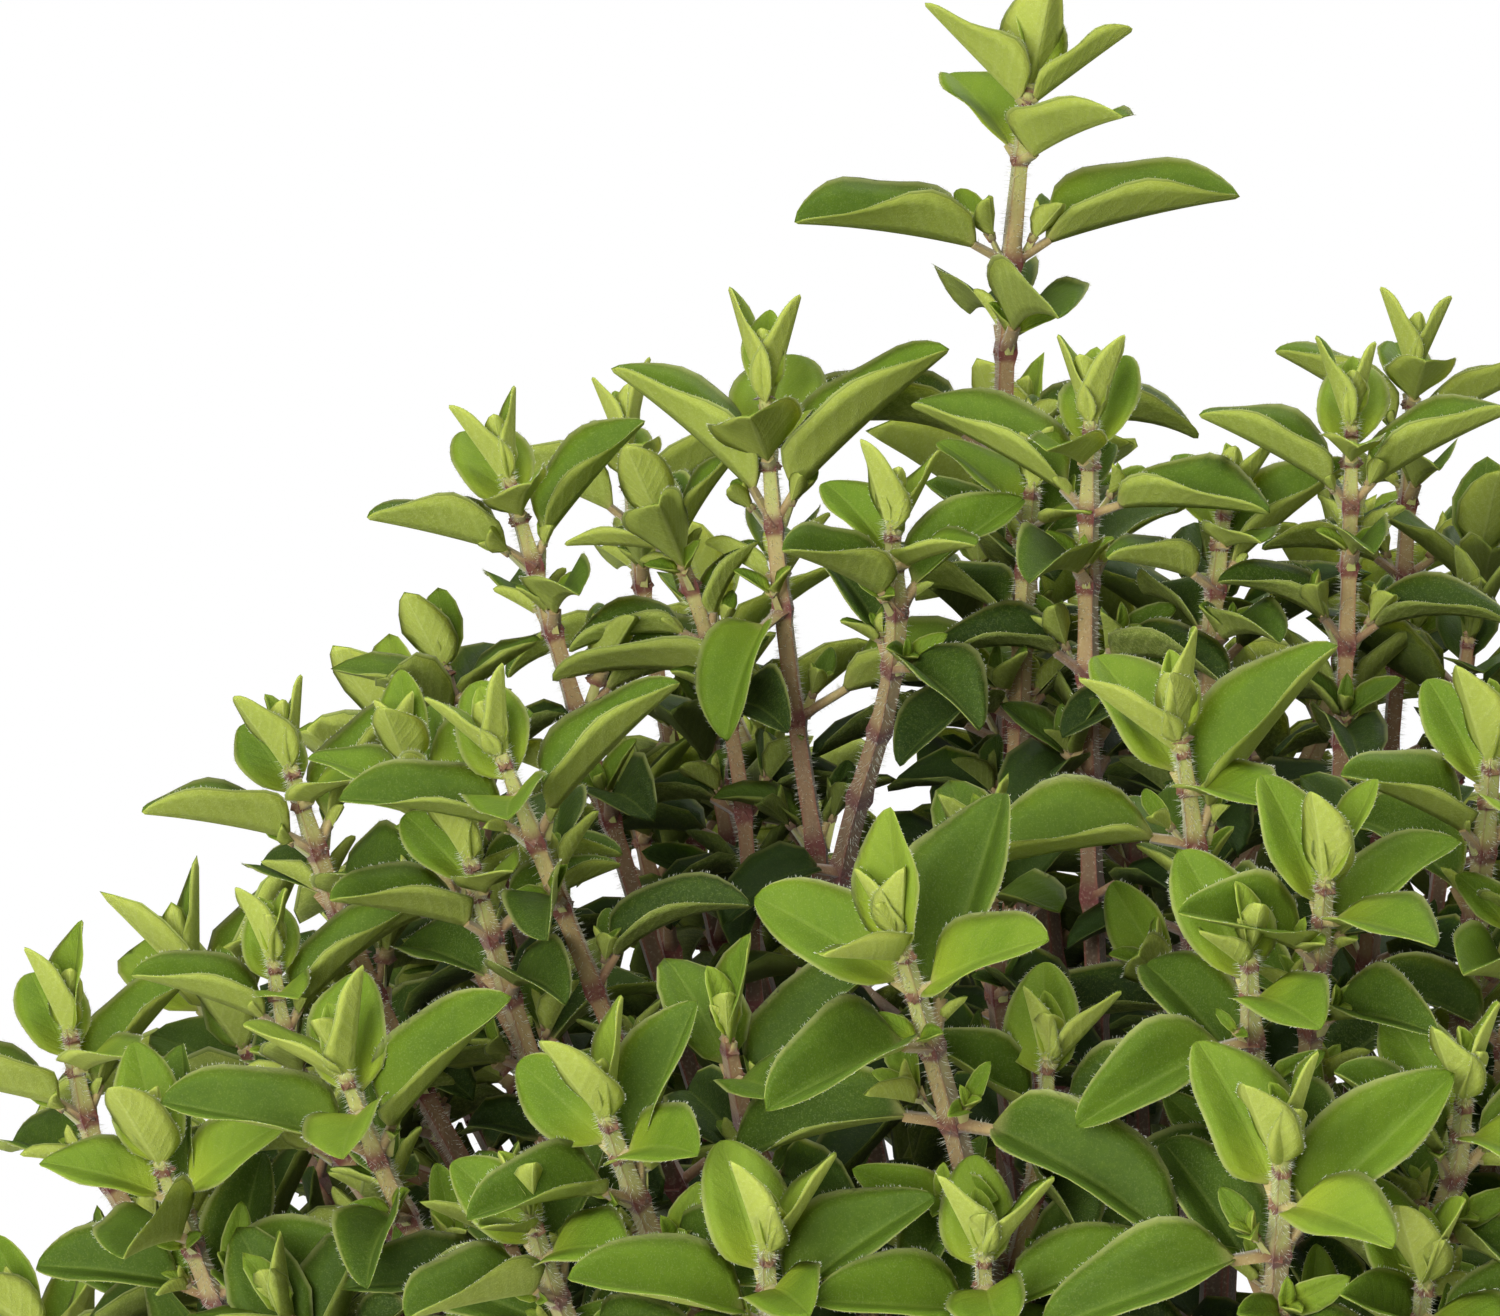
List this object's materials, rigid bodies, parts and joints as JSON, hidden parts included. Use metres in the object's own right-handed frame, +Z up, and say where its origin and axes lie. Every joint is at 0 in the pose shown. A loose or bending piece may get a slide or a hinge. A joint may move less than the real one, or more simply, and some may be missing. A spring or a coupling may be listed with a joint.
{
  "type": "oregano plant",
  "caption": "Bushy potted herb: a dome of leafy square stems with folded oval leaves in opposite pairs, rooted in soil in a plain tapered clay pot.",
  "frame": {"origin": "on the ground at the centre of the pot's underside", "axes": "+Z up along the pot's axis, +X to the right as seen from the front, +Y away from the front"},
  "size_m": [0.2484, 0.2482, 0.2853],
  "materials": {
    "clay": "matte unglazed clay",
    "soil": "matte, crumbly potting soil",
    "foliage": "soft matte leaves and hairy stems"
  },
  "bodies": {
    "root": {"pot": "clay", "soil": "soil", "stem_tall": "foliage", "stem_crest": "foliage", "stem_west_crest": "foliage", "stem_middle": "foliage", "stem_east": "foliage", "stem_east_back": "foliage", "stem_brow": "foliage", "stem_brow_east": "foliage", "stem_chin": "foliage", "stem_bold": "foliage", "stem_low_west": "foliage", "stem_skirt_mid": "foliage", "stem_shoulder": "foliage", "stem_edge_west": "foliage", "stem_slope": "foliage", "stem_front_slope": "foliage", "stem_east_edge": "foliage", "stem_fill_5": "foliage", "stem_fill_6": "foliage", "stem_fill_16": "foliage", "stem_fill_18": "foliage", "stem_fill_19": "foliage", "stem_fill_21": "foliage", "stem_fill_22": "foliage", "stem_fill_37": "foliage", "stem_fill_39": "foliage", "stem_fill_40": "foliage", "stem_fill_55": "foliage", "stem_fill_43": "foliage", "stem_fill_44": "foliage", "stem_fill_49": "foliage", "stem_fill_54": "foliage", "stem_fill_58": "foliage", "stem_fill_59": "foliage"}
  },
  "joints": []
}
